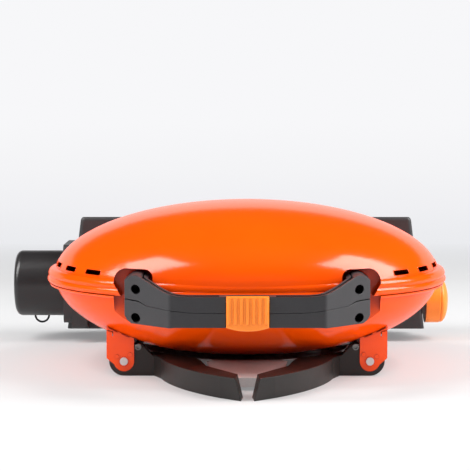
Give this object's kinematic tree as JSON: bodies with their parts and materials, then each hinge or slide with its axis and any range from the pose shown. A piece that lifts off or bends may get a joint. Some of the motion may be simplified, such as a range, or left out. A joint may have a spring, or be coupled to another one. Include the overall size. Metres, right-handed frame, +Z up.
{
  "type": "portable gas grill",
  "caption": "Tabletop gas grill with a rounded clamshell body, split carry handle with latch, folding legs, grease tray and a rear gas housing.",
  "frame": {"origin": "on the table under the folded legs, in the plane of symmetry of the body, midway along the bowl", "axes": "+Z up; +Y from the handle towards the rear gas housing; +X towards the control knob"},
  "size_m": [0.5691, 0.5159, 0.197],
  "materials": {
    "orange_paint": "gloss powder coat",
    "handle_plastic": "fine-grained black plastic",
    "housing_plastic": "satin black plastic",
    "cap_plastic": "satin black plastic",
    "leg_plastic": "glossy black plastic",
    "orange_plastic": "satin orange plastic",
    "steel": "bright zinc-plated",
    "cast_aluminium": "black non-stick coating",
    "zinc": "die-cast",
    "brass": "machined",
    "ceramic": "glazed ceramic",
    "rubber": "moulded rubber"
  },
  "bodies": {
    "body": {"base_shell": "orange_paint", "front_left_bracket": "orange_paint", "front_right_bracket": "orange_paint", "rear_left_bracket": "orange_paint", "rear_right_bracket": "orange_paint", "pivot_rivets": "steel", "lower_handle": "handle_plastic", "lower_handle_screws": "steel", "left_cooking_grate": "cast_aluminium", "right_cooking_grate": "cast_aluminium", "burner_tube": "steel", "venturi_tube": "steel", "igniter_electrode": "ceramic", "rear_housing_lower": "housing_plastic", "hinge_pins": "steel", "housing_screws_lower": "steel", "regulator_body": "zinc", "inlet_flange": "housing_plastic", "inlet_socket": "brass", "gas_tube": "steel", "valve_body": "brass", "tray_clips": "steel", "lower_rest_pads": "rubber"},
    "lid": {"lid_shell": "orange_paint", "upper_handle": "handle_plastic", "upper_handle_screws": "steel", "rear_housing_upper": "housing_plastic", "latch_pin": "steel", "housing_screws_upper": "steel", "upper_rest_pads": "rubber"},
    "latch": {"latch": "orange_plastic"},
    "left_leg": {"left_leg": "leg_plastic", "left_leg_stop_pins": "steel"},
    "right_leg": {"right_leg": "leg_plastic", "right_leg_stop_pins": "steel"},
    "tray": {"grease_tray": "steel"},
    "knob_slider": {"stem_washer": "steel"},
    "knob": {"valve_stem": "brass", "control_knob": "orange_plastic"},
    "cap": {"inlet_cap": "cap_plastic", "cap_wire_loop": "steel"}
  },
  "joints": [
    {"name": "lid_hinge", "type": "hinge", "parent": "body", "child": "lid", "pos_m": [0, 0.25, 0.1], "axis": [-1, 0, 0], "range_deg": [0, 95]},
    {"name": "latch_hinge", "type": "hinge", "parent": "lid", "child": "latch", "pos_m": [0, -0.247, 0.1055], "axis": [-1, 0, 0], "range_deg": [0, 60]},
    {"name": "left_leg_fold", "type": "hinge", "parent": "body", "child": "left_leg", "pos_m": [-0.14145, 0, 0.0173], "axis": [0, 1, 0], "range_deg": [0, 106]},
    {"name": "right_leg_fold", "type": "hinge", "parent": "body", "child": "right_leg", "pos_m": [0.14145, 0, 0.0173], "axis": [0, -1, 0], "range_deg": [0, 106]},
    {"name": "tray_drop", "type": "slide", "parent": "body", "child": "tray", "axis": [0, 0, -1], "range_m": [0, 0.045]},
    {"name": "knob_push", "type": "slide", "parent": "body", "child": "knob_slider", "axis": [-1, 0, 0], "range_m": [0, 0.003], "stiffness_N_per_m": 1500},
    {"name": "knob_turn", "type": "hinge", "parent": "knob_slider", "child": "knob", "pos_m": [0.23655, 0.1925, 0.0517], "axis": [1, 0, 0], "range_deg": [0, 210]},
    {"name": "cap_pull", "type": "slide", "parent": "body", "child": "cap", "axis": [-1, 0, 0], "range_m": [0, 0.06]}
  ]
}
